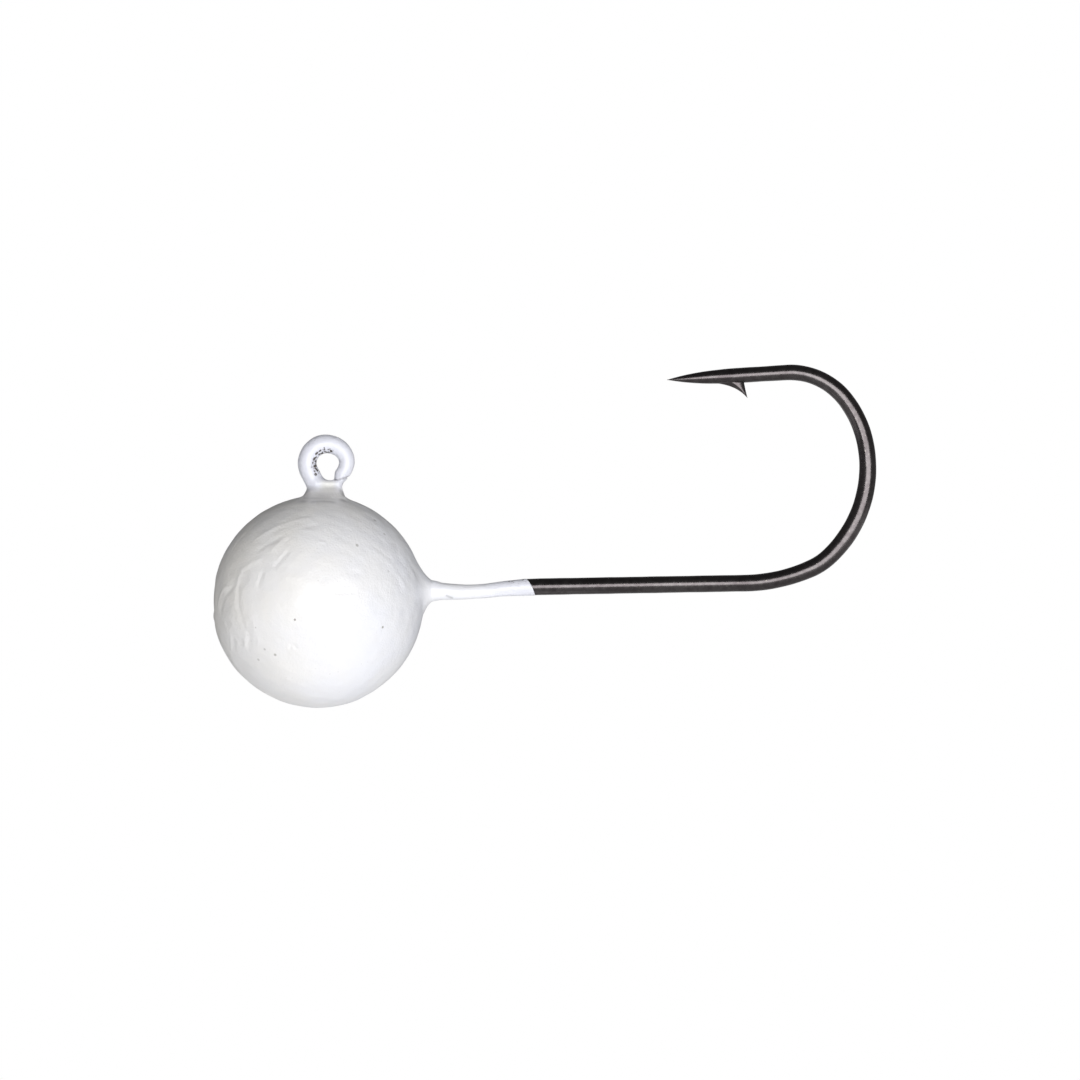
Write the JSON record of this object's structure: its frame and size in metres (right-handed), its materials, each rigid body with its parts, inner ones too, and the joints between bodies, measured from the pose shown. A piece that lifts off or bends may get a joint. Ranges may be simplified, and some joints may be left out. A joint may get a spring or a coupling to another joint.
{
  "type": "jig head",
  "caption": "Round painted lead jig head with a ring line eye on top, a straight bait shank and a barbed round-bend hook with its point up.",
  "frame": {"origin": "centre of the line eye", "axes": "+X from the head along the shank to the bend, +Y square to the plane of the hook and along the hole of the line eye, +Z from the shank towards the line eye and the hook's point"},
  "size_m": [0.0425, 0.0136, 0.022],
  "materials": {
    "hook": "black nickel plating on steel wire, glossy with fine drawing marks",
    "lead": "bare cast lead alloy, dull grey",
    "enamel": "white enamel, semi-gloss, thin, with small pits and specks"
  },
  "bodies": {
    "root": {"hook": "hook", "lead_head": "lead", "head_paint": "enamel", "eye_paint": "enamel", "shank_paint": "enamel"}
  },
  "joints": []
}
